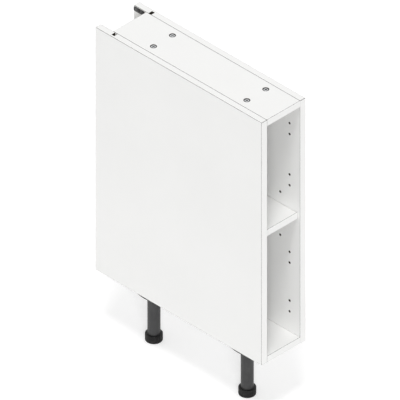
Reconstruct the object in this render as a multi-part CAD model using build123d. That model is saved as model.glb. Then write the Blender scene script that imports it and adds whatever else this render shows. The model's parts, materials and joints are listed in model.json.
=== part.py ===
from build123d import *
import os

# Narrow kitchen base cabinet, open at the front, on two adjustable legs.
# Millimetres, +Z up. X runs across the width, and Y runs from the front (-Y) to the back.
# The origin is on the floor, in the middle of the cabinet's outline.

# Carcass
cabinet_width = 150
cabinet_depth = 570
carcass_height = 720
leg_height = 182
board = 18
edging = 1
edging_round = 0.5
overrun = 1

# Back panel, in grooves in front of the open service void
back_thickness = 8
service_void = 42
side_groove_depth = 12
cross_groove_depth = 9
groove_setback = 7.6
groove_slack = 0.4
back_end_gap = 0.5

# Rows of holes on the inner faces of the sides
hole_pitch = 32
line_hole_radius = 2.5
line_hole_depth = 12
hinge_column = 37
pin_column = 69
hinge_pair_shares = (0.1292, 0.3299, 0.6493, 0.8604)
pin_height_share = 0.4894
pin_step_pitches = 2

# Cam locks, their bolts and the wooden dowels that join the boards
cam_column = 94
cam_setback = 24.5
cam_radius = 7.4
cam_recess = 0.8
cam_floor = 0.8
cam_clearance = 0.1
cam_pocket_clearance = 0.3
cross_length = 9
cross_width = 1.6
cross_depth = 2.5
bolt_thread_radius = 2.45
bolt_thread_length = 11
bolt_thread_clearance = 0.05
bolt_thread_end_gap = 0.5
bolt_shank_radius = 3.2
bolt_neck_radius = 2
bolt_neck_length = 4
bolt_head_length = 3
bolt_bore_clearance = 0.8
dowel_radius = 4
dowel_length = 30
dowel_side_depth = 11
dowel_chamfer = 1
dowel_clearance = 0.05
dowel_end_gap = 0.5

# Shelf and its four supports
shelf_setback = 10
shelf_side_gap = 0.5
shelf_back_gap = 2
shelf_seat_gap = 0.3
support_rise = 13
support_drop = 5
support_width = 12
support_reach = 11
support_steel = 1.6
support_corner = 3
support_pin_clearance = 0.05
support_pin_end_gap = 1

# Flat plates in the service void, each with a hole for a tie to the wall
wall_plate_height = 12.5
wall_plate_steel = 2
wall_plate_drop = 2
wall_plate_corner = 3
wall_plate_rear_gap = 0.5
wall_plate_front_gap = 5.5
wall_screw_inset = 6
wall_screw_spacing = 14
tie_hole_radius = 2.25
tie_hole_inset = 6

# Leg brackets, screwed under the bottom board
leg_behind_cam = 31
plate_side_gap = 8
plate_width = 44
plate_thickness = 5
plate_corner = 6
sleeve_wall = 3.8
sleeve_depth = 60
sleeve_chamfer = 2
web_thickness = 6
web_edge = 4
web_inset = 5
web_bulge_share = 0.58
leg_screw_x = 28
leg_screw_y = 14

# Leg tube
tube_radius = 16
tube_wall = 3
tube_clearance = 0.2
tube_lift = 16
bush_length = 25

# Foot: a ribbed adjuster with a threaded stem, turning on a pad that stays still
foot_wall = 5.5
foot_height = 21.5
foot_top_chamfer = 1.5
cup_floor_height = 10
cup_clearance = 0.5
stem_radius = 9
stem_clearance = 0.05
stem_spare = 30
stem_chamfer = 1.5
pad_height = 6
pad_round = 2.5
pad_gap = 0.3
pivot_radius = 5
pivot_height = 3
pivot_clearance = 0.05
flute_count = 18
flute_radius = 2
flute_depth = 0.7

# Wood screws
screw_radius = 1.75
screw_length = 14
screw_clearance = 0.05
screw_hole_clearance = 0.5
screw_head_radius = 3.6
screw_head_height = 2
screw_head_round = 1.2
recess_length = 3.8
recess_width = 0.8
recess_depth = 1.2

# Places worked out from the sizes above
half_width = cabinet_width / 2
inner_half = half_width - board
front_y = -cabinet_depth / 2
rear_y = cabinet_depth / 2
board_front_y = front_y + edging
floor_z = leg_height
roof_z = leg_height + carcass_height
panel_rear_y = rear_y - service_void
groove_width = back_thickness + groove_slack
groove_rear_y = panel_rear_y - groove_setback
groove_front_y = groove_rear_y - groove_width
back_front_y = groove_front_y + groove_slack / 2
pin_z = floor_z + carcass_height * pin_height_share
shelf_low_z = pin_z + support_rise + shelf_seat_gap
cam_height = board / 2 + bolt_shank_radius + cam_floor - cam_recess
cam_hole_depth = cam_recess + cam_height + cam_clearance
bolt_bore_radius = bolt_shank_radius + bolt_bore_clearance
joint_zs = (floor_z + board / 2, roof_z - board / 2)
wall_plate_mid_z = roof_z - wall_plate_drop - wall_plate_height / 2
wall_plate_ys = (panel_rear_y + wall_plate_front_gap, rear_y - wall_plate_rear_gap)
wall_screw_ys = (wall_plate_ys[0] + wall_screw_inset, wall_plate_ys[0] + wall_screw_inset + wall_screw_spacing)
tie_hole_y = wall_plate_ys[1] - tie_hole_inset
plate_length = cabinet_width - 2 * plate_side_gap
sleeve_bore = tube_radius + tube_clearance
sleeve_radius = sleeve_bore + sleeve_wall
cup_radius = tube_radius + cup_clearance
foot_radius = cup_radius + foot_wall
pilot_radius = screw_radius + screw_clearance
screw_hole_radius = screw_radius + screw_hole_clearance


def column_pair(setback):
    """Front and rear places on the hole grid, each at least a setback from the board's ends."""
    pitches = (panel_rear_y - front_y - 2 * setback) // hole_pitch
    return (front_y + setback, front_y + setback + pitches * hole_pitch)


pin_ys = column_pair(pin_column)
cam_ys = column_pair(cam_column)
dowel_ys = (cam_ys[0] - hole_pitch, cam_ys[1] + hole_pitch)
leg_ys = (cam_ys[0] + leg_behind_cam, cam_ys[1] + leg_behind_cam)


def block(x_range, y_range, z_range):
    """A box between two values on each axis, given in either order."""
    spans = (x_range, y_range, z_range)
    size = [abs(high - low) for low, high in spans]
    centre = [(low + high) / 2 for low, high in spans]
    return Pos(*centre) * Box(*size)


def rod(radius, length, start, towards):
    """A round bar from a start point along a direction."""
    spot = Plane(origin=start, z_dir=towards).location
    return spot * Pos(0, 0, length / 2) * Cylinder(radius, length)


def save(name, solids):
    """Write one node, with each piece in it as a solid of its own."""
    export_step(Compound(children=solids), f"parts/{name}.step")


def side_holes():
    """Places (y, z) of the 5 mm holes on a side's inner face, hinge pairs first."""
    places = []
    for share in hinge_pair_shares:
        pair_z = floor_z + carcass_height * share
        for step in (-1, 1):
            places.append((front_y + hinge_column, pair_z + step * hole_pitch / 2))
    for pin_y in pin_ys:
        for step in (-1, 0, 1):
            places.append((pin_y, pin_z + step * pin_step_pitches * hole_pitch))
    return places


def side_panel(side):
    """A side board, with its groove and every hole; side is -1 for left, 1 for right."""
    inner_x = side * inner_half
    mouth_x = inner_x - side * overrun
    into = (side, 0, 0)
    panel = block((inner_x, side * half_width), (board_front_y, rear_y), (floor_z, roof_z))
    panel -= block(
        (mouth_x, inner_x + side * side_groove_depth),
        (groove_front_y, groove_rear_y),
        (floor_z - overrun, roof_z + overrun),
    )
    for y, z in side_holes():
        panel -= rod(line_hole_radius, line_hole_depth + overrun, (mouth_x, y, z), into)
    thread_hole = bolt_thread_radius + bolt_thread_clearance
    thread_depth = bolt_thread_length + bolt_thread_end_gap + overrun
    dowel_hole = dowel_radius + dowel_clearance
    dowel_depth = dowel_side_depth + dowel_end_gap + overrun
    for z in joint_zs:
        for y in cam_ys:
            panel -= rod(thread_hole, thread_depth, (mouth_x, y, z), into)
        for y in dowel_ys:
            panel -= rod(dowel_hole, dowel_depth, (mouth_x, y, z), into)
    for y in wall_screw_ys:
        panel -= rod(pilot_radius, screw_length + overrun, (mouth_x, y, wall_plate_mid_z), into)
    return panel


def cam_places():
    """Each cam lock of one board, as its side and its y."""
    return [(side, y) for side in (-1, 1) for y in cam_ys]


def cam_x(side):
    """The x of a cam lock's centre."""
    return side * (inner_half - cam_setback)


def cross_panel(face_z, down):
    """The top or bottom board; its cam holes open on face_z, and down is the way into the board."""
    far_z = face_z + down * board
    middle_z = face_z + down * board / 2
    panel = block((-inner_half, inner_half), (board_front_y, panel_rear_y), (face_z, far_z))
    panel -= block(
        (-inner_half - overrun, inner_half + overrun),
        (groove_front_y, groove_rear_y),
        (far_z + down * overrun, far_z - down * cross_groove_depth),
    )
    for side, y in cam_places():
        start = (cam_x(side), y, face_z - down * overrun)
        panel -= rod(cam_radius + cam_clearance, cam_hole_depth + overrun, start, (0, 0, down))
    dowel_hole = dowel_radius + dowel_clearance
    dowel_depth = dowel_length - dowel_side_depth + dowel_end_gap + overrun
    for side in (-1, 1):
        end_x = side * (inner_half + overrun)
        for y in cam_ys:
            panel -= rod(bolt_bore_radius, cam_setback + overrun, (end_x, y, middle_z), (-side, 0, 0))
        for y in dowel_ys:
            panel -= rod(dowel_hole, dowel_depth, (end_x, y, middle_z), (-side, 0, 0))
    return panel


def bottom_panel():
    """The bottom board, drilled below for the screws of the leg brackets."""
    panel = cross_panel(floor_z, 1)
    for leg_y in leg_ys:
        for x, y in leg_screw_places(leg_y):
            panel -= rod(pilot_radius, screw_length, (x, y, floor_z - overrun), (0, 0, 1))
    return panel


def back_panel():
    """The thin back, standing in the grooves of the four boards round it."""
    half = inner_half + side_groove_depth - back_end_gap
    low_z = floor_z + board - cross_groove_depth + back_end_gap
    high_z = roof_z - board + cross_groove_depth - back_end_gap
    return block((-half, half), (back_front_y, back_front_y + back_thickness), (low_z, high_z))


def edge_strip(x_range, z_range, strip_front_y, along):
    """A strip of edging on a board's front edge, with its two long front corners rounded."""
    strip = block(x_range, (strip_front_y, strip_front_y + edging), z_range)
    long_edges = strip.edges().filter_by(along).group_by(Axis.Y)[0]
    return fillet(long_edges, edging_round)


def cam_lock(side, y, face_z, down):
    """A cam lock: a disc with a cross slot on its face and a pocket that takes the bolt's head."""
    x = cam_x(side)
    top_z = face_z + down * cam_recess
    lock = rod(cam_radius, cam_height, (x, y, top_z), (0, 0, down))
    mouth_z = top_z - down * overrun
    slot_z = top_z + down * cross_depth
    for half_x, half_y in ((cross_length / 2, cross_width / 2), (cross_width / 2, cross_length / 2)):
        lock -= block((x - half_x, x + half_x), (y - half_y, y + half_y), (mouth_z, slot_z))
    pocket_start = (x + side * (cam_radius + overrun), y, face_z + down * board / 2)
    pocket_length = cam_radius + overrun + bolt_head_length
    pocket_radius = bolt_shank_radius + cam_pocket_clearance
    lock -= rod(pocket_radius, pocket_length, pocket_start, (-side, 0, 0))
    return lock


def cam_bolt(side, y, z):
    """A bolt screwed into a side board, with a neck and a head that the cam lock pulls on."""
    inner_x = side * inner_half
    towards = (-side, 0, 0)
    shank_length = cam_setback - bolt_neck_length - bolt_head_length / 2
    head_x = inner_x - side * (shank_length + bolt_neck_length)
    bolt = rod(bolt_thread_radius, bolt_thread_length, (inner_x, y, z), (side, 0, 0))
    bolt += rod(bolt_shank_radius, shank_length, (inner_x, y, z), towards)
    bolt += rod(bolt_neck_radius, bolt_neck_length, (inner_x - side * shank_length, y, z), towards)
    bolt += rod(bolt_shank_radius, bolt_head_length, (head_x, y, z), towards)
    return bolt


def wood_dowel(side, y, z):
    """A dowel across the joint between a side board and the top or bottom board."""
    start = (side * (inner_half + dowel_side_depth), y, z)
    dowel = rod(dowel_radius, dowel_length, start, (-side, 0, 0))
    return chamfer(dowel.edges().filter_by(GeomType.CIRCLE), dowel_chamfer)


def shelf_board():
    """The loose shelf, without its front edging."""
    half = inner_half - shelf_side_gap
    y_range = (front_y + shelf_setback + edging, back_front_y - shelf_back_gap)
    return block((-half, half), y_range, (shelf_low_z, shelf_low_z + board))


def shelf_support(side, y):
    """A steel support: a pin in the side's hole, a plate on the side and a ledge under the shelf."""
    inner_x = side * inner_half
    ledge_z = pin_z + support_rise
    y_range = (y - support_width / 2, y + support_width / 2)
    plate = block((inner_x, inner_x - side * support_steel), y_range, (pin_z - support_drop, ledge_z))
    low_edges = plate.edges().filter_by(Axis.X).group_by(Axis.Z)[0]
    plate = fillet(low_edges, support_corner)
    ledge = block((inner_x, inner_x - side * support_reach), y_range, (ledge_z - support_steel, ledge_z))
    tip = ledge.edges().filter_by(Axis.Z)
    tip = [edge for edge in tip if abs(edge.center().X) < inner_half - support_reach / 2]
    ledge = fillet(tip, support_corner)
    pin_start = (inner_x - side * support_steel, y, pin_z)
    pin_radius = line_hole_radius - support_pin_clearance
    pin_length = support_steel + line_hole_depth - support_pin_end_gap
    pin = rod(pin_radius, pin_length, pin_start, (side, 0, 0))
    return plate + ledge + pin


def wall_plate(side):
    """A flat black steel plate on a side's inner face, with a hole near its rear end for a tie."""
    inner_x = side * inner_half
    face_x = inner_x - side * wall_plate_steel
    z_range = (wall_plate_mid_z - wall_plate_height / 2, wall_plate_mid_z + wall_plate_height / 2)
    plate = block((inner_x, face_x), wall_plate_ys, z_range)
    plate = fillet(plate.edges().filter_by(Axis.X), wall_plate_corner)
    holes = [(y, screw_hole_radius) for y in wall_screw_ys]
    holes.append((tie_hole_y, tie_hole_radius))
    through = wall_plate_steel + 2 * overrun
    for y, radius in holes:
        start = (inner_x + side * overrun, y, wall_plate_mid_z)
        plate -= rod(radius, through, start, (-side, 0, 0))
    return plate


def wood_screw(seat, into):
    """A screw whose head sits on the point seat, and which goes into a board along into."""
    spot = Plane(origin=seat, z_dir=tuple(-part for part in into)).location
    head = Pos(0, 0, screw_head_height / 2) * Cylinder(screw_head_radius, screw_head_height)
    rim = head.edges().filter_by(GeomType.CIRCLE).group_by(Axis.Z)[-1]
    head = fillet(rim, screw_head_round)
    for long_side, short_side in ((recess_length, recess_width), (recess_width, recess_length)):
        head -= Pos(0, 0, screw_head_height) * Box(long_side, short_side, 2 * recess_depth)
    return rod(screw_radius, screw_length, seat, into) + spot * head


def wall_plate_screws():
    """The four screws that hold the wall plates on the sides."""
    screws = []
    for side in (-1, 1):
        for y in wall_screw_ys:
            seat = (side * (inner_half - wall_plate_steel), y, wall_plate_mid_z)
            screws.append(wood_screw(seat, (side, 0, 0)))
    return screws


def leg_screw_places(leg_y):
    """Places (x, y) of the four screws of one leg bracket."""
    return [(i * leg_screw_x, leg_y + j * leg_screw_y) for i in (-1, 1) for j in (-1, 1)]


def leg_bracket(leg_y):
    """A plate across the bottom with a sleeve for the tube and a curved web on either side."""
    under_z = floor_z - plate_thickness
    plate = block(
        (-plate_length / 2, plate_length / 2),
        (leg_y - plate_width / 2, leg_y + plate_width / 2),
        (under_z, floor_z),
    )
    plate = fillet(plate.edges().filter_by(Axis.Z), plate_corner)
    sleeve = rod(sleeve_radius, sleeve_depth, (0, leg_y, floor_z), (0, 0, -1))
    sleeve_end = sleeve.edges().filter_by(GeomType.CIRCLE).group_by(Axis.Z)[0]
    sleeve = chamfer(sleeve_end, sleeve_chamfer)
    bracket = plate + sleeve
    for side in (-1, 1):
        bracket += leg_web(side, leg_y, under_z)
    bracket -= rod(sleeve_bore, sleeve_depth + overrun, (0, leg_y, under_z), (0, 0, -1))
    through = plate_thickness + 2 * overrun
    for x, y in leg_screw_places(leg_y):
        bracket -= rod(screw_hole_radius, through, (x, y, floor_z + overrun), (0, 0, -1))
    return bracket


def leg_web(side, leg_y, under_z):
    """A web with a bulging edge from the plate's end to the foot of the sleeve."""
    inner_x = side * tube_radius
    root_x = side * (sleeve_radius - sleeve_chamfer)
    outer_x = side * (plate_length / 2 - web_inset)
    tip_z = floor_z - sleeve_depth + sleeve_chamfer
    edge_z = under_z - web_edge
    bend_x = outer_x + (root_x - outer_x) / 2
    bend_z = edge_z + (tip_z - edge_z) * web_bulge_share
    outline = [
        Line((inner_x, under_z), (outer_x, under_z)),
        Line((outer_x, under_z), (outer_x, edge_z)),
        ThreePointArc((outer_x, edge_z), (bend_x, bend_z), (root_x, tip_z)),
        Line((root_x, tip_z), (inner_x, tip_z)),
        Line((inner_x, tip_z), (inner_x, under_z)),
    ]
    upright = Plane(origin=(0, leg_y, 0), x_dir=(1, 0, 0), z_dir=(0, -1, 0))
    face = make_face(Wire(outline))
    return extrude(upright * face, amount=web_thickness / 2, both=True)


def leg_screws(leg_y):
    """The four screws of one leg bracket."""
    under_z = floor_z - plate_thickness
    return [wood_screw((x, y, under_z), (0, 0, 1)) for x, y in leg_screw_places(leg_y)]


def leg_tube(leg_y):
    """The leg's tube, with a threaded bush in its lower end."""
    top_z = floor_z - plate_thickness
    length = top_z - tube_lift
    tube = rod(tube_radius, length, (0, leg_y, tube_lift), (0, 0, 1))
    tube -= rod(stem_radius + stem_clearance, length + overrun, (0, leg_y, tube_lift - overrun), (0, 0, 1))
    room_start = (0, leg_y, tube_lift + bush_length)
    tube -= rod(tube_radius - tube_wall, length - bush_length + overrun, room_start, (0, 0, 1))
    return tube


def foot_adjuster(leg_y):
    """The ribbed cup under the tube and the stem that screws into the tube's bush."""
    low_z = pad_height + pad_gap
    body = rod(foot_radius, foot_height - low_z, (0, leg_y, low_z), (0, 0, 1))
    top_edge = body.edges().filter_by(GeomType.CIRCLE).group_by(Axis.Z)[-1]
    body = chamfer(top_edge, foot_top_chamfer)
    body -= rod(cup_radius, foot_height, (0, leg_y, cup_floor_height), (0, 0, 1))
    flute_ring = foot_radius + flute_radius - flute_depth
    for spot in PolarLocations(flute_ring, flute_count):
        body -= Pos(0, leg_y, foot_height) * spot * Cylinder(flute_radius, 2 * foot_height)
    stem_length = tube_lift + bush_length + stem_spare - low_z
    stem = rod(stem_radius, stem_length, (0, leg_y, low_z), (0, 0, 1))
    stem_end = stem.edges().filter_by(GeomType.CIRCLE).group_by(Axis.Z)[-1]
    body += chamfer(stem_end, stem_chamfer)
    socket_depth = pivot_height + 2 * pad_gap
    body -= rod(pivot_radius + pivot_clearance, socket_depth, (0, leg_y, low_z - pad_gap), (0, 0, 1))
    return body


def foot_pad(leg_y):
    """The pad on the floor, with the pivot that the adjuster turns on."""
    pad = rod(foot_radius, pad_height, (0, leg_y, 0), (0, 0, 1))
    floor_edge = pad.edges().filter_by(GeomType.CIRCLE).group_by(Axis.Z)[0]
    pad = fillet(floor_edge, pad_round)
    pad += rod(pivot_radius, pivot_height + pad_gap, (0, leg_y, pad_height), (0, 0, 1))
    return pad


def build():
    """Make every node and write it."""
    os.makedirs("parts", exist_ok=True)
    sides = {"left": -1, "right": 1}
    legs = {"front": leg_ys[0], "rear": leg_ys[1]}
    for name, side in sides.items():
        save(f"{name}_side_panel", [side_panel(side)])
        x_range = (side * inner_half, side * half_width)
        save(f"{name}_side_edging", [edge_strip(x_range, (floor_z, roof_z), front_y, Axis.Z)])
        save(f"wall_plate_{name}", [wall_plate(side)])
    inner_range = (-inner_half, inner_half)
    save("top_panel", [cross_panel(roof_z, -1)])
    save("top_edging", [edge_strip(inner_range, (roof_z - board, roof_z), front_y, Axis.X)])
    save("bottom_panel", [bottom_panel()])
    save("bottom_edging", [edge_strip(inner_range, (floor_z, floor_z + board), front_y, Axis.X)])
    save("back_panel", [back_panel()])
    save("cam_locks_top", [cam_lock(side, y, roof_z, -1) for side, y in cam_places()])
    save("cam_locks_bottom", [cam_lock(side, y, floor_z, 1) for side, y in cam_places()])
    for name, z in zip(("bottom", "top"), joint_zs):
        save(f"cam_bolts_{name}", [cam_bolt(side, y, z) for side in (-1, 1) for y in cam_ys])
        save(f"wood_dowels_{name}", [wood_dowel(side, y, z) for side in (-1, 1) for y in dowel_ys])
    save("shelf_board", [shelf_board()])
    shelf_half = inner_half - shelf_side_gap
    shelf_z = (shelf_low_z, shelf_low_z + board)
    save("shelf_edging", [edge_strip((-shelf_half, shelf_half), shelf_z, front_y + shelf_setback, Axis.X)])
    for side_name, side in sides.items():
        for place, pin_y in zip(("front", "rear"), pin_ys):
            save(f"shelf_support_{place}_{side_name}", [shelf_support(side, pin_y)])
    save("wall_plate_screws", wall_plate_screws())
    for name, leg_y in legs.items():
        save(f"leg_bracket_{name}", [leg_bracket(leg_y)])
        save(f"leg_screws_{name}", leg_screws(leg_y))
        save(f"leg_tube_{name}", [leg_tube(leg_y)])
        save(f"foot_adjuster_{name}", [foot_adjuster(leg_y)])
        save(f"foot_pad_{name}", [foot_pad(leg_y)])


build()
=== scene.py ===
"""Looks of a narrow white kitchen base cabinet on two dark plastic legs.

Everything is in metres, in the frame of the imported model: +Z up, the open front at -Y.
"""

import json
import math

import bmesh
import bpy
from mathutils import Matrix, Vector

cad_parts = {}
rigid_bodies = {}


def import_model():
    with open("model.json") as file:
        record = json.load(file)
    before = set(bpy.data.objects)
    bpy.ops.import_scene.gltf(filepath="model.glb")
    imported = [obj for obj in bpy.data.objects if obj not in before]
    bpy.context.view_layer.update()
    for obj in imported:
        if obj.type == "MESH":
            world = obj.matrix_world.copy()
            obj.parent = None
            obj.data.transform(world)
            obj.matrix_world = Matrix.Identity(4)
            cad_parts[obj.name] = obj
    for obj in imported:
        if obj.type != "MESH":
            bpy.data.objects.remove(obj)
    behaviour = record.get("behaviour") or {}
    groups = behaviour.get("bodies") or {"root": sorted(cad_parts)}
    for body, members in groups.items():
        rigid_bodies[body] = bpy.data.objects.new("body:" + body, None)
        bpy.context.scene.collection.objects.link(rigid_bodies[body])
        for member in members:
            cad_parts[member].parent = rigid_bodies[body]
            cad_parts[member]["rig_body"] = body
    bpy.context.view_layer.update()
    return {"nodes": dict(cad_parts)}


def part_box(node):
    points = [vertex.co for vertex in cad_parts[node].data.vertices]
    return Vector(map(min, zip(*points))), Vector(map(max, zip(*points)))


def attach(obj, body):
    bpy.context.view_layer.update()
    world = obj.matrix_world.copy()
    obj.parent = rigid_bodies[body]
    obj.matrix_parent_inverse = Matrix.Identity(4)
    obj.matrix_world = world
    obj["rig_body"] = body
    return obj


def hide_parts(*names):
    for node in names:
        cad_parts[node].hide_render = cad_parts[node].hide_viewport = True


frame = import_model()

MM = 0.001
nodes = frame["nodes"]

# Edges of the pieces, as bevels
BOARD_BEVEL = 0.6 * MM
EDGING_BEVEL = 0.35 * MM
PLASTIC_BEVEL = 0.5 * MM
METAL_BEVEL = 0.2 * MM
CAM_BEVEL = 1.6 * MM
HOLE_BEVEL = 1.0 * MM
BEVEL_SEGMENTS = 2

# How flat, curved and sharp places of a mesh are told apart
WELD = 1e-6
FLAT_ANGLE = math.radians(0.5)
SHARP_ANGLE = math.radians(28)
CREASE_ANGLE = math.radians(50)
CURVED_AREA = 1000 * MM * MM
FACING = 0.9
BOARD_FACE_REACH = 0.2 * MM
CAM_FACE_REACH = 0.1 * MM
STEM_REACH = 0.01 * MM

# Thread of the feet
STEM_RADIUS = 9.0 * MM
STEM_CORE = 8.1 * MM
THREAD_CREST = 8.92 * MM
THREAD_PITCH = 5.0 * MM
THREAD_STEPS = 28
THREAD_SINK = 0.2 * MM
THREAD_HALF_FOOT = 1.5 * MM
THREAD_HALF_CREST = 0.5 * MM
THREAD_BELOW_TUBE = 2.0 * MM
THREAD_BELOW_TOP = 4.0 * MM

# Arrows of the cam locks
CAM_RADIUS = 7.4 * MM
ARROW_SIDES = 3
ARROW_REACH = 5.2 * MM
ARROW_FOOT = 0.6 * MM
ARROW_CREST = 0.45 * MM
ARROW_DEPTH = 0.4 * MM

# Ends of a board, each as an axis (0 is X, 1 is Y, 2 is Z) and a way along it
REAR_END = (1, 1)
SIDE_ENDS = ((0, -1), (0, 1))
LEVEL_ENDS = ((2, -1), (2, 1))

# Floor, room and lamps; a lamp has a direction, a level and a spread in degrees
FLOOR_SIZE = 14.0
FLOOR_GLOW = 0.44
ROOM_LEVEL = 0.48
KEY = ((0.30, 0.24, -1.0), 1.25, 14.0)
FRONT_FILL = ((0.60, 0.68, -0.42), 1.55, 20.0)
REAR_FILL = ((-0.75, -0.62, -0.06), 0.5, 20.0)

# Camera, at equal angles to the three axes
CAMERA_AZIMUTH = math.radians(-45.0)
CAMERA_ELEVATION = math.asin(1 / math.sqrt(3))
CAMERA_SPAN = 0.9697
CAMERA_HEIGHT = 0.4939
CAMERA_TO_LEFT = 0.00145
CAMERA_DISTANCE = 6.0
CAMERA_REACH = 30.0

# Tones of marks, and of the finishes that are made once
SMEAR_TONE = (0.72, 0.71, 0.69)
SCUFF_TONE = (0.13, 0.13, 0.125)
DUST_TONE = (0.20, 0.19, 0.175)
# Near-black arris line: partly core and glue line, partly painted shade along joints and edges
ARRIS_AND_SHADE_TONES = ((0.085, 0.082, 0.078), (0.055, 0.053, 0.05))
EDGING_TONES = ((0.85, 0.85, 0.84), (0.82, 0.82, 0.81))
COAT_TONES = ((0.016, 0.016, 0.017), (0.026, 0.026, 0.027))
BEECH_TONES = ((0.62, 0.42, 0.24), (0.74, 0.55, 0.35))
FLECK_TONE = (0.38, 0.22, 0.11)
FLOOR_TONES = ((0.70, 0.70, 0.70), (0.69, 0.69, 0.69))

# How much of a mark's tone shows, and how much rougher the mark makes the surface
SMEAR_COVER, SMEAR_ROUGHNESS = 0.10, 0.25
SCUFF_COVER, SCUFF_ROUGHNESS = 0.25, 0.2
DUST_ROUGHNESS = 0.3

# A metal's mottle against its fine skin, and what spreads the tones of the chips
MOTTLE_SHARE = 0.12
CHIP_SHUFFLE = 3.7

# The span that most of a noise falls in, and the colour sockets of a Mix node
NOISE_LOW, NOISE_HIGH = 0.3, 0.7
MIX_FACTOR, MIX_FIRST, MIX_SECOND, MIX_RESULT = 0, 6, 7, 2


# Shader helpers


class Graph:
    """Adds nodes to one node tree and links them."""

    def __init__(self, tree):
        self.tree = tree

    def add(self, kind, **inputs):
        """Add a node; keys of inputs are socket names with spaces as underscores."""
        node = self.tree.nodes.new(kind)
        for key, value in inputs.items():
            self.feed(node.inputs[key.replace("_", " ")], value)
        return node

    def feed(self, socket, value):
        """Set a socket to a plain value, or link it to another node's output."""
        if isinstance(value, bpy.types.NodeSocket):
            self.tree.links.new(value, socket)
        else:
            socket.default_value = value

    def math(self, operation, first, second=None):
        """A Math node's result."""
        node = self.tree.nodes.new("ShaderNodeMath")
        node.operation = operation
        self.feed(node.inputs[0], first)
        if second is not None:
            self.feed(node.inputs[1], second)
        return node.outputs[0]

    def ranged(self, value, low, high, out_low=0.0, out_high=1.0):
        """A value brought from one range into another."""
        node = self.tree.nodes.new("ShaderNodeMapRange")
        for socket, number in zip(node.inputs, (value, low, high, out_low, out_high)):
            self.feed(socket, number)
        return node.outputs[0]

    def spread(self, noise, out_low=0.0, out_high=1.0):
        """A noise value brought from the span that it mostly falls in into a range."""
        return self.ranged(noise, NOISE_LOW, NOISE_HIGH, out_low, out_high)

    def blend(self, factor, first, second):
        """Two colours mixed by a factor; each is a socket or three plain numbers."""
        node = self.tree.nodes.new("ShaderNodeMix")
        node.data_type = "RGBA"
        self.feed(node.inputs[MIX_FACTOR], factor)
        for index, colour in ((MIX_FIRST, first), (MIX_SECOND, second)):
            linked = isinstance(colour, bpy.types.NodeSocket)
            self.feed(node.inputs[index], colour if linked else (*colour, 1.0))
        return node.outputs[MIX_RESULT]

    def place(self):
        """The place on the piece, as Object coordinates."""
        return self.add("ShaderNodeTexCoord").outputs["Object"]

    def noise(self, place, scale, detail=2.0, roughness=0.5):
        """A noise value on a coordinate."""
        node = self.add("ShaderNodeTexNoise", Vector=place, Scale=scale, Detail=detail, Roughness=roughness)
        return node.outputs["Fac"]

    def stretched(self, place, scale):
        """A coordinate scaled by axis."""
        return self.add("ShaderNodeMapping", Vector=place, Scale=scale).outputs[0]


def new_group(name, inputs, outputs):
    """An empty shader group with number sockets, and its graph; each input has a default."""
    group = bpy.data.node_groups.new(name, "ShaderNodeTree")
    for socket_name, default in inputs.items():
        socket = group.interface.new_socket(socket_name, in_out="INPUT", socket_type="NodeSocketFloat")
        socket.default_value = default
    for socket_name in outputs:
        group.interface.new_socket(socket_name, in_out="OUTPUT", socket_type="NodeSocketFloat")
    graph = Graph(group)
    entry = group.nodes.new("NodeGroupInput")
    leave = group.nodes.new("NodeGroupOutput")
    return group, graph, entry.outputs, leave.inputs


def fine_relief_group():
    """Fine even texture of a pressed or moulded surface: a height and a slow unevenness."""
    defaults = {"Grain": 2500.0, "Wave": 12.0}
    group, graph, given, result = new_group("fine_relief", defaults, ("Height", "Unevenness"))
    place = graph.place()
    graph.feed(result["Height"], graph.noise(place, given["Grain"], detail=3.0, roughness=0.6))
    graph.feed(result["Unevenness"], graph.noise(place, given["Wave"], detail=4.0, roughness=0.55))
    return group


def handling_group():
    """Soft marks that hands and cloths leave: a mask of smears, more of them with Amount."""
    group, graph, given, result = new_group("handling", {"Amount": 0.3, "Scale": 9.0}, ("Marks",))
    place = graph.place()
    broad = graph.noise(place, given["Scale"], detail=5.0, roughness=0.6)
    streaks = graph.noise(graph.stretched(place, (40.0, 40.0, 4.0)), 1.0, detail=3.0)
    both = graph.math("MULTIPLY", graph.ranged(broad, 0.45, 0.7), graph.ranged(streaks, 0.35, 0.75))
    graph.feed(result["Marks"], graph.math("MULTIPLY", both, given["Amount"]))
    return group


def metal_skin_group():
    """Fine cast or rolled metal: a height and a mottle for roughness."""
    group, graph, given, result = new_group("metal_skin", {"Scale": 900.0}, ("Height", "Mottle"))
    place = graph.place()
    graph.feed(result["Height"], graph.noise(place, given["Scale"], detail=4.0, roughness=0.65))
    coarse = graph.math("MULTIPLY", given["Scale"], MOTTLE_SHARE)
    graph.feed(result["Mottle"], graph.noise(place, coarse, detail=3.0))
    return group


def floor_dust_group():
    """Dust that settles low on a leg: a mask that fades out with height."""
    group, graph, given, result = new_group("floor_dust", {"Height": 0.06, "Amount": 0.4}, ("Dust",))
    place = graph.place()
    height = graph.add("ShaderNodeSeparateXYZ", Vector=place).outputs["Z"]
    low = graph.ranged(height, 0.0, given["Height"], out_low=1.0, out_high=0.0)
    patches = graph.noise(place, 90.0, detail=4.0, roughness=0.6)
    patches = graph.ranged(patches, 0.4, 0.7, out_low=0.25, out_high=1.0)
    graph.feed(result["Dust"], graph.math("MULTIPLY", graph.math("MULTIPLY", low, patches), given["Amount"]))
    return group


GROUPS = {
    "relief": fine_relief_group(),
    "handling": handling_group(),
    "metal": metal_skin_group(),
    "dust": floor_dust_group(),
}


def new_material(name):
    """A material with a Principled shader, its graph and the shader."""
    material = bpy.data.materials.new(name)
    material.use_nodes = True
    tree = material.node_tree
    shader = next(node for node in tree.nodes if node.type == "BSDF_PRINCIPLED")
    return material, Graph(tree), shader


def use(graph, key, **inputs):
    """Place a shared group in a material and return its outputs."""
    node = graph.tree.nodes.new("ShaderNodeGroup")
    node.node_tree = GROUPS[key]
    for socket_name, value in inputs.items():
        graph.feed(node.inputs[socket_name], value)
    return node.outputs


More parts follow.
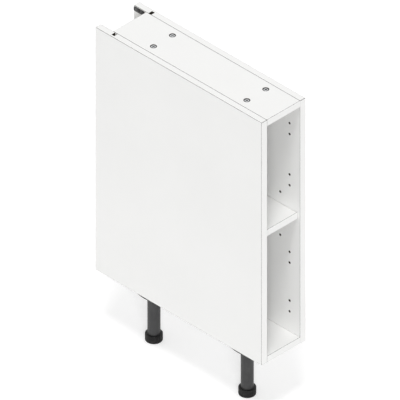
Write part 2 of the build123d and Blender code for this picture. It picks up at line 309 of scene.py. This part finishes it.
def bump(graph, shader, height, strength, distance):
    """A bump from a height into the shader's normal."""
    node = graph.add("ShaderNodeBump", Strength=strength, Distance=distance, Height=height)
    graph.feed(shader.inputs["Normal"], node.outputs[0])


# Materials


def melamine(name, tone, warm):
    """White melamine: a faint pearl texture, slow shifts of tone and a few wiped smears."""
    material, graph, shader = new_material(name)
    relief = use(graph, "relief", Grain=1400.0, Wave=3.5)
    marks = use(graph, "handling", Amount=0.4, Scale=6.0)["Marks"]
    colour = graph.blend(graph.spread(relief["Unevenness"]), tone, warm)
    colour = graph.blend(graph.math("MULTIPLY", marks, SMEAR_COVER), colour, SMEAR_TONE)
    graph.feed(shader.inputs["Base Color"], colour)
    sheen = graph.spread(relief["Unevenness"], out_low=0.36, out_high=0.44)
    worn = graph.math("MULTIPLY", marks, SMEAR_ROUGHNESS)
    graph.feed(shader.inputs["Roughness"], graph.math("ADD", sheen, worn))
    shader.inputs["IOR"].default_value = 1.5
    bump(graph, shader, relief["Height"], strength=0.12, distance=0.00008)
    return material


def chipboard(name, light, middle, dark):
    """Chipboard with chips of several sizes: raw where a board is cut, and in near-black tones as painted
    shade in holes and grooves.
    """
    material, graph, shader = new_material(name)
    place = graph.place()
    chips = graph.add("ShaderNodeTexVoronoi", Vector=graph.stretched(place, (1.0, 1.0, 2.2)), Scale=420.0)
    fine = graph.noise(place, 1500.0, detail=4.0, roughness=0.6)
    chip_tone = graph.math("FRACT", graph.math("MULTIPLY", chips.outputs["Color"], CHIP_SHUFFLE))
    colour = graph.blend(chip_tone, middle, light)
    colour = graph.blend(graph.ranged(fine, 0.35, 0.7, out_low=0.0, out_high=0.5), colour, dark)
    graph.feed(shader.inputs["Base Color"], colour)
    shader.inputs["Roughness"].default_value = 0.85
    shader.inputs["Specular IOR Level"].default_value = 0.1
    bump(graph, shader, fine, strength=0.6, distance=0.0003)
    return material


def arris_and_painted_shade_line():
    """The eased arris of a board, near black: partly the line of core and glue where the thin melamine ends,
    partly painted shade along joints and edges.
    """
    material, graph, shader = new_material("arris_and_painted_shade_line")
    relief = use(graph, "relief", Grain=900.0, Wave=40.0)
    graph.feed(shader.inputs["Base Color"], graph.blend(graph.spread(relief["Unevenness"]), *ARRIS_AND_SHADE_TONES))
    graph.feed(shader.inputs["Roughness"], graph.spread(relief["Height"], out_low=0.55, out_high=0.7))
    shader.inputs["Specular IOR Level"].default_value = 0.15
    bump(graph, shader, relief["Height"], strength=0.3, distance=0.0001)
    return material


def edging_plastic(name, stretch):
    """White plastic edging, smoother than the board, with fine trimming lines along its length."""
    material, graph, shader = new_material(name)
    lines = graph.noise(graph.stretched(graph.place(), stretch), 1.0)
    relief = use(graph, "relief", Grain=700.0, Wave=6.0)
    graph.feed(shader.inputs["Base Color"], graph.blend(graph.spread(relief["Unevenness"]), *EDGING_TONES))
    graph.feed(shader.inputs["Roughness"], graph.spread(lines, out_low=0.30, out_high=0.42))
    bump(graph, shader, lines, strength=0.10, distance=0.00006)
    return material


def moulded_plastic(name, low_tone, high_tone, gloss):
    """Dark moulded plastic: spark-eroded texture, slight scuffs, and dust near the floor."""
    material, graph, shader = new_material(name)
    shader.inputs["Specular IOR Level"].default_value = gloss
    relief = use(graph, "relief", Grain=1800.0, Wave=30.0)
    marks = use(graph, "handling", Amount=1.0, Scale=25.0)["Marks"]
    dust = use(graph, "dust", Height=0.05, Amount=0.08)["Dust"]
    colour = graph.blend(graph.spread(relief["Unevenness"]), low_tone, high_tone)
    colour = graph.blend(graph.math("MULTIPLY", marks, SCUFF_COVER), colour, SCUFF_TONE)
    colour = graph.blend(dust, colour, DUST_TONE)
    graph.feed(shader.inputs["Base Color"], colour)
    rough = graph.spread(relief["Height"], out_low=0.40, out_high=0.54)
    scuffed = graph.math("MULTIPLY", marks, SCUFF_ROUGHNESS)
    dusty = graph.math("MULTIPLY", dust, DUST_ROUGHNESS)
    graph.feed(shader.inputs["Roughness"], graph.math("ADD", rough, graph.math("ADD", scuffed, dusty)))
    bump(graph, shader, relief["Height"], strength=0.35, distance=0.00012)
    return material


def metal(name, light, dark, rough_low, rough_high, grain):
    """Bare or plated metal with a fine skin and a mottled sheen; in near-black tones it is dark zinc that
    stands for painted shade.
    """
    material, graph, shader = new_material(name)
    skin = use(graph, "metal", Scale=grain)
    graph.feed(shader.inputs["Base Color"], graph.blend(graph.spread(skin["Mottle"]), light, dark))
    graph.feed(shader.inputs["Roughness"], graph.spread(skin["Mottle"], rough_low, rough_high))
    shader.inputs["Metallic"].default_value = 1.0
    bump(graph, shader, skin["Height"], strength=0.25, distance=0.00008)
    return material


def powder_coat():
    """Black powder coat: a fine orange peel over steel."""
    material, graph, shader = new_material("powder_coat")
    relief = use(graph, "relief", Grain=1100.0, Wave=60.0)
    graph.feed(shader.inputs["Base Color"], graph.blend(graph.spread(relief["Unevenness"]), *COAT_TONES))
    graph.feed(shader.inputs["Roughness"], graph.spread(relief["Height"], out_low=0.36, out_high=0.50))
    bump(graph, shader, relief["Height"], strength=0.4, distance=0.0002)
    return material


def beech_wood():
    """Bare beech of the dowels: straight grain along X with short dark flecks."""
    material, graph, shader = new_material("beech_wood")
    place = graph.place()
    grain = graph.noise(graph.stretched(place, (60.0, 900.0, 900.0)), 1.0, detail=4.0, roughness=0.6)
    flecks = graph.noise(graph.stretched(place, (250.0, 2200.0, 2200.0)), 1.0)
    colour = graph.blend(grain, *BEECH_TONES)
    colour = graph.blend(graph.ranged(flecks, 0.6, 0.75, out_low=0.0, out_high=0.6), colour, FLECK_TONE)
    graph.feed(shader.inputs["Base Color"], colour)
    shader.inputs["Roughness"].default_value = 0.6
    bump(graph, shader, grain, strength=0.3, distance=0.0002)
    return material


WHITE = melamine("melamine_face", (0.85, 0.85, 0.84), (0.825, 0.825, 0.815))
BACK_WHITE = melamine("back_face", (0.82, 0.82, 0.805), (0.79, 0.79, 0.775))
CORE = chipboard("chipboard_core", (0.66, 0.52, 0.34), (0.50, 0.36, 0.21), (0.36, 0.25, 0.14))
# Near-black core: painted shade inside holes and grooves and on their rims
CORE_PAINTED_SHADE = chipboard("core_painted_shade", (0.045, 0.036, 0.027), (0.028, 0.022, 0.016), (0.012, 0.010, 0.008))
ARRIS_AND_SHADE_LINE = arris_and_painted_shade_line()
UPRIGHT_EDGING = edging_plastic("edging_upright", (900.0, 900.0, 8.0))
LEVEL_EDGING = edging_plastic("edging_level", (8.0, 900.0, 900.0))
TUBE_PLASTIC = moulded_plastic("leg_plastic", (0.030, 0.030, 0.031), (0.039, 0.039, 0.040), gloss=0.42)
FOOT_PLASTIC = moulded_plastic("foot_plastic", (0.005, 0.005, 0.0055), (0.008, 0.008, 0.0085), gloss=0.15)
ZINC = metal("cast_zinc", (0.66, 0.67, 0.68), (0.54, 0.55, 0.56), 0.38, 0.55, grain=1100.0)
# Near-black zinc: painted shade on the cam locks' rims, slots and walls, and also the colour of their arrows
ZINC_DARK_AND_PAINTED_SHADE = metal("zinc_dark_and_painted_shade", (0.045, 0.045, 0.045), (0.025, 0.025, 0.025), 0.55, 0.75, grain=900.0)
STEEL = metal("zinc_plated_steel", (0.72, 0.73, 0.74), (0.62, 0.63, 0.64), 0.22, 0.36, grain=700.0)
COAT = powder_coat()
BEECH = beech_wood()


# Mesh helpers


def keep(name, bm, body, materials, replaced=()):
    """Turn a bmesh into a finished piece that rides on a body and stands for CAD nodes."""
    mesh = bpy.data.meshes.new(name)
    bm.to_mesh(mesh)
    bm.free()
    for material in materials:
        mesh.materials.append(material)
    piece = bpy.data.objects.new(name, mesh)
    bpy.context.scene.collection.objects.link(piece)
    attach(piece, body)
    if replaced:
        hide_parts(*replaced)


def merged_copy(node):
    """A CAD node's mesh as one welded bmesh with its flat faces joined up."""
    bm = bmesh.new()
    bm.from_mesh(nodes[node].data)
    bmesh.ops.remove_doubles(bm, verts=bm.verts, dist=WELD)
    bmesh.ops.dissolve_limit(bm, angle_limit=FLAT_ANGLE, verts=bm.verts, edges=bm.edges)
    return bm


def is_curved(poly):
    """Whether a face is one facet of a round wall."""
    soft = [edge for edge in poly.edges if FLAT_ANGLE < edge.calc_face_angle(0.0) <= SHARP_ANGLE]
    return len(soft) > 1 and poly.calc_area() < CURVED_AREA


def sharp_edges(bm):
    """The edges at which a mesh turns sharply."""
    return [edge for edge in bm.edges if edge.is_manifold and edge.calc_face_angle(0.0) > SHARP_ANGLE]


def smooth_curved_faces(bm):
    """Shade the facets of round walls smooth, and all the other faces flat."""
    for poly in bm.faces:
        poly.smooth = is_curved(poly)


def bevel(bm, edges, offset, clamp=True):
    """Round some edges, and return the faces of the bevels."""
    return bmesh.ops.bevel(
        bm,
        geom=edges,
        offset=offset,
        segments=BEVEL_SEGMENTS,
        profile=0.5,
        affect="EDGES",
        material=-1,
        clamp_overlap=clamp,
    )["faces"]


def paint(faces, index):
    """Give some faces one of their piece's materials."""
    for poly in faces:
        poly.material_index = index


def shade_bevels(bm, rounded):
    """Shade bevels smooth, with a crease where they meet the faces beside them."""
    fresh = set(rounded)
    for poly in rounded:
        poly.smooth = True
    for edge in bm.edges:
        sides = [poly in fresh for poly in edge.link_faces]
        edge.smooth = sides.count(True) != 1 and edge.calc_face_angle(0.0) < CREASE_ANGLE


def dress(node, materials, offset):
    """A CAD node's shape with rounded edges, in its own place; a second material goes on the edges."""
    bm = merged_copy(node)
    smooth_curved_faces(bm)
    rounded = bevel(bm, sharp_edges(bm), offset)
    paint(rounded, len(materials) - 1)
    shade_bevels(bm, rounded)
    keep(f"{node}_finished", bm, nodes[node]["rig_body"], materials, [node])


# Kinds of surface on a cam lock, in the order of its materials: bright cast zinc, and near-black zinc as
# painted shade
BRIGHT, PAINTED_SHADE = range(2)


def outer_height(node, up):
    """The height of a node's top, or of its underside where up is negative."""
    low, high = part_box(node)
    return high[2] if up > 0 else low[2]


def dress_cam_locks(level, up):
    """Cam locks with bright cast faces, and painted shade in near-black zinc on their rims, slots and walls.
    """
    node = f"cam_locks_{level}"
    face_height = outer_height(node, up)
    bm = merged_copy(node)
    outward = [poly for poly in bm.faces if poly.normal.z * up > FACING]
    faces = [poly for poly in outward if abs(poly.calc_center_median().z - face_height) < CAM_FACE_REACH]
    edges = {edge for poly in faces for edge in poly.edges if edge.calc_face_angle(0.0) > SHARP_ANGLE}
    rims = {edge for edge in edges if any(is_curved(poly) for poly in edge.link_faces)}
    slots = edges - rims
    smooth_curved_faces(bm)
    # Painted shade: every face but the top faces gets near-black zinc, and so do the bevels of rims and
    # slots
    paint(bm.faces, PAINTED_SHADE)
    paint(faces, BRIGHT)
    rounded = bevel(bm, list(rims), CAM_BEVEL, clamp=False)
    rounded += bevel(bm, list(slots), METAL_BEVEL, clamp=False)
    paint(rounded, PAINTED_SHADE)
    shade_bevels(bm, rounded)
    keep(f"{node}_finished", bm, "root", [ZINC, ZINC_DARK_AND_PAINTED_SHADE], [node])


# Kinds of surface on a board, in the order of its materials; DEEP takes the near-black core that paints
# shade in holes and grooves
FACE, EDGE_LINE, CUT_END, DEEP = range(4)


def board_surface(poly, low, high, cut_ends):
    """The kind of surface that a board's face is, from where it lies in the board's box."""
    middle = poly.calc_center_median()
    for axis in range(3):
        for bound, way in ((low[axis], -1), (high[axis], 1)):
            if abs(middle[axis] - bound) < BOARD_FACE_REACH and abs(poly.normal[axis]) > FACING:
                return CUT_END if (axis, way) in cut_ends else FACE
    return DEEP


def is_deep(poly):
    """Whether a board's face lies in a hole or a groove."""
    return poly.material_index == DEEP


def beside_holes(bm, rounded):
    """The bevel faces that run along a hole or a groove, found by steps from its walls."""
    fresh = set(rounded)
    inner = {point for poly in bm.faces if is_deep(poly) and poly not in fresh for point in poly.verts}
    for _ in range(BEVEL_SEGMENTS):
        touching = [poly for poly in rounded if any(point in inner for point in poly.verts)]
        inner.update(point for poly in touching for point in poly.verts)
    return {poly for poly in rounded if all(point in inner for point in poly.verts)}


def dress_board(node, face, cut_ends=()):
    """A board: melamine outside, raw core at cut ends, and painted shade as near-black core in holes,
    grooves and along their rims.
    """
    low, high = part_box(node)
    bm = merged_copy(node)
    for poly in bm.faces:
        poly.material_index = board_surface(poly, low, high, cut_ends)
    outer = [edge for edge in sharp_edges(bm) if not all(is_deep(poly) for poly in edge.link_faces)]
    rims = [edge for edge in outer if any(is_deep(poly) and is_curved(poly) for poly in edge.link_faces)]
    round_rims = set(rims)
    straight = [edge for edge in outer if edge not in round_rims]
    smooth_curved_faces(bm)
    # Painted shade: the rounded rims of holes take the near-black core
    countersunk = bevel(bm, rims, HOLE_BEVEL, clamp=False)
    paint(countersunk, DEEP)
    rounded = bevel(bm, straight, BOARD_BEVEL, clamp=False)
    # Painted shade: bevels beside holes and grooves take the near-black core as well
    dark = beside_holes(bm, rounded)
    for poly in rounded:
        poly.material_index = DEEP if poly in dark else EDGE_LINE
    shade_bevels(bm, countersunk + rounded)
    materials = [face, ARRIS_AND_SHADE_LINE, CORE, CORE_PAINTED_SHADE]
    keep(f"{node}_finished", bm, nodes[node]["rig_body"], materials, [node])


def leg_axis(place):
    """The x and y of a leg's axis, from the box of its tube."""
    low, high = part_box(f"leg_tube_{place}")
    return (low[0] + high[0]) / 2, (low[1] + high[1]) / 2


def dress_adjuster(place):
    """A foot's ribbed cup, with its stem turned down to the root of the thread."""
    node = f"foot_adjuster_{place}"
    x, y = leg_axis(place)
    floor_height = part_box(f"foot_pad_{place}")[1][2]
    bm = merged_copy(node)
    high = [point for point in bm.verts if point.co.z > floor_height]
    stem = [point for point in high if math.hypot(point.co.x - x, point.co.y - y) < STEM_RADIUS + STEM_REACH]
    turned = STEM_CORE / STEM_RADIUS
    bmesh.ops.scale(bm, vec=(turned, turned, 1.0), space=Matrix.Translation((-x, -y, 0.0)), verts=stem)
    smooth_curved_faces(bm)
    shade_bevels(bm, bevel(bm, sharp_edges(bm), PLASTIC_BEVEL))
    keep(f"{node}_finished", bm, nodes[node]["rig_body"], [FOOT_PLASTIC], [node])


def stem_thread(place):
    """The coarse thread round a foot's stem, swept up as one helix."""
    node = f"foot_adjuster_{place}"
    x, y = leg_axis(place)
    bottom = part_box(f"leg_tube_{place}")[0][2] - THREAD_BELOW_TUBE
    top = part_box(node)[1][2] - THREAD_BELOW_TOP
    outline = [
        (STEM_CORE - THREAD_SINK, -THREAD_HALF_FOOT),
        (THREAD_CREST, -THREAD_HALF_CREST),
        (THREAD_CREST, THREAD_HALF_CREST),
        (STEM_CORE - THREAD_SINK, THREAD_HALF_FOOT),
    ]
    bm = bmesh.new()
    corners = [bm.verts.new((x + radius, y, bottom + height)) for radius, height in outline]
    section = bm.faces.new(corners)
    turns = (top - bottom) / THREAD_PITCH
    steps = int(turns * THREAD_STEPS)
    bmesh.ops.spin(
        bm,
        geom=[section, *section.edges, *corners],
        cent=(x, y, 0.0),
        axis=(0.0, 0.0, 1.0),
        dvec=(0.0, 0.0, THREAD_PITCH / THREAD_STEPS),
        angle=math.tau * steps / THREAD_STEPS,
        steps=steps,
        use_duplicate=False,
    )
    bmesh.ops.recalc_face_normals(bm, faces=bm.faces)
    for poly in bm.faces:
        poly.smooth = True
    for edge in bm.edges:
        edge.smooth = edge.calc_face_angle(0.0) < SHARP_ANGLE
    keep(f"stem_thread_{place}", bm, nodes[node]["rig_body"], [FOOT_PLASTIC])


def cam_arrows(level, up):
    """A small raised arrow on each cam lock, which shows the way to its bolt."""
    node = f"cam_locks_{level}"
    low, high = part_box(node)
    face_height = outer_height(node, up)
    bm = bmesh.new()
    for side, x in ((-1, low[0] + CAM_RADIUS), (1, high[0] - CAM_RADIUS)):
        turn = Matrix.Rotation(-side * math.pi / 2, 4, "Z")
        for y in (low[1] + CAM_RADIUS, high[1] - CAM_RADIUS):
            bmesh.ops.create_cone(
                bm,
                cap_ends=True,
                segments=ARROW_SIDES,
                radius1=ARROW_FOOT,
                radius2=ARROW_CREST,
                depth=ARROW_DEPTH,
                matrix=Matrix.Translation((x + side * ARROW_REACH, y, face_height)) @ turn,
            )
    bmesh.ops.recalc_face_normals(bm, faces=bm.faces)
    for edge in bm.edges:
        edge.smooth = False
    keep(f"cam_arrows_{level}", bm, "root", [ZINC_DARK_AND_PAINTED_SHADE])


# Pieces


for board in ("left_side_panel", "right_side_panel"):
    dress_board(board, WHITE)
for board in ("top_panel", "bottom_panel", "shelf_board"):
    dress_board(board, WHITE, (REAR_END,))
dress_board("back_panel", BACK_WHITE, SIDE_ENDS + LEVEL_ENDS)
for strip in ("left_side_edging", "right_side_edging"):
    dress(strip, [UPRIGHT_EDGING, ARRIS_AND_SHADE_LINE], EDGING_BEVEL)
for strip in ("top_edging", "bottom_edging", "shelf_edging"):
    dress(strip, [LEVEL_EDGING, ARRIS_AND_SHADE_LINE], EDGING_BEVEL)
for level, up in (("top", 1), ("bottom", -1)):
    dress_cam_locks(level, up)
    cam_arrows(level, up)
    dress(f"cam_bolts_{level}", [STEEL], METAL_BEVEL)
    dress(f"wood_dowels_{level}", [BEECH], METAL_BEVEL)
for place in ("front", "rear"):
    for side in ("left", "right"):
        dress(f"shelf_support_{place}_{side}", [STEEL], METAL_BEVEL)
    dress(f"leg_bracket_{place}", [TUBE_PLASTIC], PLASTIC_BEVEL)
    dress(f"leg_screws_{place}", [STEEL], METAL_BEVEL)
    dress(f"leg_tube_{place}", [TUBE_PLASTIC], PLASTIC_BEVEL)
    dress_adjuster(place)
    stem_thread(place)
    dress(f"foot_pad_{place}", [FOOT_PLASTIC], PLASTIC_BEVEL)
for side in ("left", "right"):
    dress(f"wall_plate_{side}", [COAT], METAL_BEVEL)
dress("wall_plate_screws", [COAT], METAL_BEVEL)


# Floor, lights and camera


def floor():
    """A pale floor that the camera sees as white where no shadow falls."""
    bm = bmesh.new()
    bmesh.ops.create_grid(bm, x_segments=1, y_segments=1, size=FLOOR_SIZE / 2)
    mesh = bpy.data.meshes.new("floor")
    bm.to_mesh(mesh)
    bm.free()
    material, graph, shader = new_material("pale_floor")
    tone = graph.noise(graph.place(), 2.0)
    graph.feed(shader.inputs["Base Color"], graph.blend(tone, *FLOOR_TONES))
    shader.inputs["Roughness"].default_value = 0.9
    shader.inputs["Specular IOR Level"].default_value = 0.1
    path = graph.add("ShaderNodeLightPath")
    seen = graph.math("MAXIMUM", path.outputs["Is Camera Ray"], path.outputs["Is Glossy Ray"])
    glow = graph.add("ShaderNodeEmission", Strength=graph.math("MULTIPLY", seen, FLOOR_GLOW))
    both = graph.add("ShaderNodeAddShader")
    graph.feed(both.inputs[0], shader.outputs[0])
    graph.feed(both.inputs[1], glow.outputs[0])
    output = next(node for node in material.node_tree.nodes if node.type == "OUTPUT_MATERIAL")
    graph.feed(output.inputs["Surface"], both.outputs[0])
    mesh.materials.append(material)
    plane = bpy.data.objects.new("floor", mesh)
    bpy.context.scene.collection.objects.link(plane)


def soft_sun(name, towards, level, spread):
    """An even soft light from one direction, as from a large bank of lamps far off."""
    light = bpy.data.lights.new(name, "SUN")
    light.energy = level
    light.angle = math.radians(spread)
    lamp = bpy.data.objects.new(name, light)
    lamp.rotation_mode = "QUATERNION"
    lamp.rotation_quaternion = Vector(towards).to_track_quat("-Z", "Y")
    bpy.context.scene.collection.objects.link(lamp)


def surroundings():
    """An even pale room for light, which looks white itself and in reflections."""
    world = bpy.data.worlds.new("pale_room")
    bpy.context.scene.world = world
    world.use_nodes = True
    graph = Graph(world.node_tree)
    background = next(node for node in world.node_tree.nodes if node.type == "BACKGROUND")
    path = graph.add("ShaderNodeLightPath")
    seen = graph.math("MAXIMUM", path.outputs["Is Camera Ray"], path.outputs["Is Transmission Ray"])
    seen = graph.math("MAXIMUM", seen, path.outputs["Is Glossy Ray"])
    graph.feed(background.inputs["Color"], (1.0, 1.0, 1.0, 1.0))
    graph.feed(background.inputs["Strength"], graph.ranged(seen, 0.0, 1.0, ROOM_LEVEL, 1.0))


def camera():
    """A camera without perspective, as the drawing has."""
    away = Vector((
        math.sin(CAMERA_AZIMUTH) * math.cos(CAMERA_ELEVATION),
        -math.cos(CAMERA_AZIMUTH) * math.cos(CAMERA_ELEVATION),
        math.sin(CAMERA_ELEVATION),
    ))
    data = bpy.data.cameras.new("camera")
    data.type = "ORTHO"
    data.ortho_scale = CAMERA_SPAN
    data.clip_end = CAMERA_REACH
    eye = bpy.data.objects.new("camera", data)
    turn = (-away).to_track_quat("-Z", "Y")
    eye.rotation_mode = "QUATERNION"
    eye.rotation_quaternion = turn
    right = turn @ Vector((1.0, 0.0, 0.0))
    aim = Vector((0.0, 0.0, CAMERA_HEIGHT)) - right * CAMERA_TO_LEFT
    eye.location = aim + away * CAMERA_DISTANCE
    bpy.context.scene.collection.objects.link(eye)
    bpy.context.scene.camera = eye


floor()
surroundings()
soft_sun("key", *KEY)
soft_sun("front_fill", *FRONT_FILL)
soft_sun("rear_fill", *REAR_FILL)
camera()
bpy.context.scene.view_settings.view_transform = "Standard"
